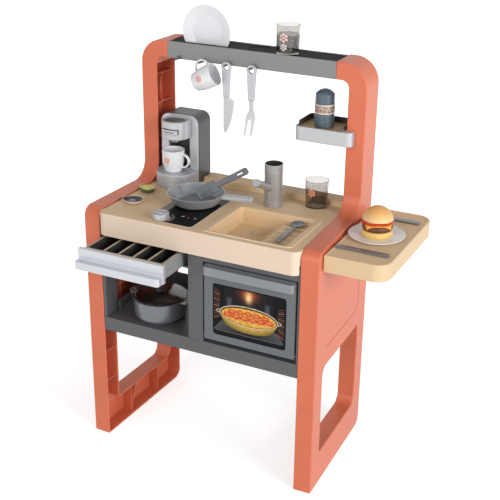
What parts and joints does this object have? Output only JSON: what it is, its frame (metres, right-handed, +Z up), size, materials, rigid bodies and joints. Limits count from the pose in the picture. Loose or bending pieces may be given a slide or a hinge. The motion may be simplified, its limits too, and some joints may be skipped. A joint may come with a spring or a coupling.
{
  "type": "toy play kitchen with oven",
  "caption": "Free-standing toy kitchen: side frames with arch and bar, worktop with sink, tap and hob, oven door, drawer, coffee machine, tray and loose toy tableware.",
  "frame": {"origin": "on the floor, under the middle of the whole object's box at rest, with the drawer open as in the picture", "axes": "+X to the right along the worktop, +Y from front to back, +Z up"},
  "size_m": [0.771, 0.4748, 1.093],
  "materials": {
    "coral_plastic": "satin moulded, fine grain",
    "sand_plastic": "satin moulded, fine grain",
    "grey_plastic": "satin moulded",
    "dark_plastic": "satin moulded",
    "bar_plastic": "satin moulded",
    "silver_plastic": "metallic-look moulded",
    "black_plastic": "glossy",
    "white_plastic": "glossy",
    "smoke_plastic": "transparent tinted",
    "pan_plastic": "satin metallic-look",
    "mill_plastic": "satin",
    "bun_plastic": "satin",
    "patty_plastic": "satin",
    "shell_plastic": "glossy",
    "avocado_plastic": "satin"
  },
  "bodies": {
    "kitchen": {"left_frame": "coral_plastic", "right_frame": "coral_plastic", "left_upright": "coral_plastic", "right_upright": "coral_plastic", "top_bar": "bar_plastic", "bar_tray": "black_plastic", "bar_hooks": "bar_plastic", "worktop": "sand_plastic", "hob_plate": "black_plastic", "sound_box": "dark_plastic", "tap_foot": "silver_plastic", "coffee_casing": "grey_plastic", "coffee_front": "silver_plastic", "brew_head": "silver_plastic", "drip_base": "silver_plastic", "cabinet_shelf": "grey_plastic", "centre_divider": "grey_plastic", "left_stile": "dark_plastic", "right_panel": "dark_plastic", "oven_liner": "dark_plastic", "header_rail": "grey_plastic", "back_rail": "dark_plastic", "drawer_runners": "dark_plastic", "side_tray": "sand_plastic", "corner_shelf": "silver_plastic", "corner_liner": "dark_plastic"},
    "drawer": {"drawer_box": "dark_plastic", "drawer_front": "silver_plastic", "cutlery_insert": "sand_plastic"},
    "door": {"oven_door": "silver_plastic", "door_window": "black_plastic", "door_handle": "silver_plastic"},
    "knob": {"hob_knob": "silver_plastic"},
    "tap": {"tap_spout": "silver_plastic", "tap_top": "silver_plastic"},
    "pod_drawer": {"pod_tray": "pan_plastic"},
    "button": {"brew_button": "dark_plastic"},
    "upright_plate": {"wall_plate": "white_plastic"},
    "bar_glass": {"bar_tumbler": "smoke_plastic"},
    "deck_glass": {"deck_tumbler": "smoke_plastic"},
    "hung_mug": {"hanging_mug": "white_plastic"},
    "served_mug": {"coffee_mug": "white_plastic"},
    "carving_knife": {"knife_handle": "silver_plastic", "knife_blade": "white_plastic"},
    "carving_prongs": {"carving_fork": "silver_plastic"},
    "pan": {"frying_pan": "pan_plastic"},
    "pan_turner": {"turner": "pan_plastic"},
    "tea_spoon": {"spoon": "pan_plastic"},
    "knife_piece": {"table_knife": "pan_plastic"},
    "fork_piece": {"table_fork": "pan_plastic"},
    "dish": {"tray_plate": "white_plastic"},
    "burger": {"bun_base": "bun_plastic", "burger_filling": "patty_plastic"},
    "burger_top": {"bun_top": "bun_plastic"},
    "cooking_pot": {"pot": "pan_plastic"},
    "lid": {"pot_lid": "smoke_plastic"},
    "mill": {"mill_body": "mill_plastic"},
    "mill_top": {"mill_cap": "mill_plastic"},
    "mussel": {"mussel_shell": "shell_plastic"},
    "avocado": {"avocado_half": "avocado_plastic"}
  },
  "joints": [
    {"name": "drawer_slide", "type": "slide", "parent": "kitchen", "child": "drawer", "axis": [0, -1, 0], "range_m": [-0.1, 0.055]},
    {"name": "door_hinge", "type": "hinge", "parent": "kitchen", "child": "door", "pos_m": [0.06504, -0.1139, 0.3665], "axis": [1, 0, 0], "range_deg": [0, 88]},
    {"name": "knob_turn", "type": "hinge", "parent": "kitchen", "child": "knob", "pos_m": [-0.1845, -0.0924, 0.634], "axis": [0, 0, 1], "range_deg": [-135, 135]},
    {"name": "tap_swivel", "type": "hinge", "parent": "kitchen", "child": "tap", "pos_m": [0.0145, 0.1126, 0.654], "axis": [0, 0, 1], "range_deg": [-60, 60]},
    {"name": "pod_drawer_slide", "type": "slide", "parent": "kitchen", "child": "pod_drawer", "axis": [0, -1, 0], "range_m": [0, 0.018]},
    {"name": "button_press", "type": "slide", "parent": "kitchen", "child": "button", "axis": [0, 0, -1], "range_m": [0, 0.003], "stiffness_N_per_m": 300, "springref_m": -0.001},
    {"name": "upright_plate_lift", "type": "slide", "parent": "kitchen", "child": "upright_plate", "axis": [0, 0, 1], "range_m": [0, 0.05]},
    {"name": "bar_glass_lift", "type": "slide", "parent": "kitchen", "child": "bar_glass", "axis": [0, 0, 1], "range_m": [0, 0.03]},
    {"name": "deck_glass_lift", "type": "slide", "parent": "kitchen", "child": "deck_glass", "axis": [0, 0, 1], "range_m": [0, 0.06]},
    {"name": "hung_mug_off", "type": "slide", "parent": "kitchen", "child": "hung_mug", "axis": [0, -0.7001, 0.7141], "range_m": [0, 0.05]},
    {"name": "served_mug_out", "type": "slide", "parent": "kitchen", "child": "served_mug", "axis": [0, -1, 0], "range_m": [0, 0.05]},
    {"name": "carving_knife_off", "type": "slide", "parent": "kitchen", "child": "carving_knife", "axis": [0, -0.9, 0.436], "range_m": [0, 0.04]},
    {"name": "carving_prongs_off", "type": "slide", "parent": "kitchen", "child": "carving_prongs", "axis": [0, -0.9, 0.436], "range_m": [0, 0.04]},
    {"name": "pan_lift", "type": "slide", "parent": "kitchen", "child": "pan", "axis": [0, 0, 1], "range_m": [0, 0.04]},
    {"name": "pan_turner_lift", "type": "slide", "parent": "pan", "child": "pan_turner", "axis": [0, -0.3159, 0.9488], "range_m": [0, 0.05]},
    {"name": "tea_spoon_lift", "type": "slide", "parent": "kitchen", "child": "tea_spoon", "axis": [0, 0, 1], "range_m": [0, 0.06]},
    {"name": "knife_piece_lift", "type": "slide", "parent": "kitchen", "child": "knife_piece", "axis": [0, 0, 1], "range_m": [0, 0.04]},
    {"name": "fork_piece_lift", "type": "slide", "parent": "kitchen", "child": "fork_piece", "axis": [0, 0, 1], "range_m": [0, 0.04]},
    {"name": "dish_lift", "type": "slide", "parent": "kitchen", "child": "dish", "axis": [0, 0, 1], "range_m": [0, 0.06]},
    {"name": "burger_lift", "type": "slide", "parent": "dish", "child": "burger", "axis": [0, 0, 1], "range_m": [0, 0.04]},
    {"name": "burger_top_lift", "type": "slide", "parent": "burger", "child": "burger_top", "axis": [0, 0, 1], "range_m": [0, 0.04]},
    {"name": "cooking_pot_out", "type": "slide", "parent": "kitchen", "child": "cooking_pot", "axis": [0, -1, 0], "range_m": [0, 0.15]},
    {"name": "lid_lift", "type": "slide", "parent": "cooking_pot", "child": "lid", "axis": [0, 0, 1], "range_m": [0, 0.06]},
    {"name": "mill_off", "type": "slide", "parent": "kitchen", "child": "mill", "axis": [0, -0.9207, 0.3903], "range_m": [0, 0.055]},
    {"name": "mill_top_lift", "type": "slide", "parent": "mill", "child": "mill_top", "axis": [0, 0, 1], "range_m": [0, 0.02]},
    {"name": "mussel_lift", "type": "slide", "parent": "kitchen", "child": "mussel", "axis": [0, 0, 1], "range_m": [0, 0.02]},
    {"name": "avocado_lift", "type": "slide", "parent": "kitchen", "child": "avocado", "axis": [0, 0, 1], "range_m": [0, 0.02]}
  ]
}
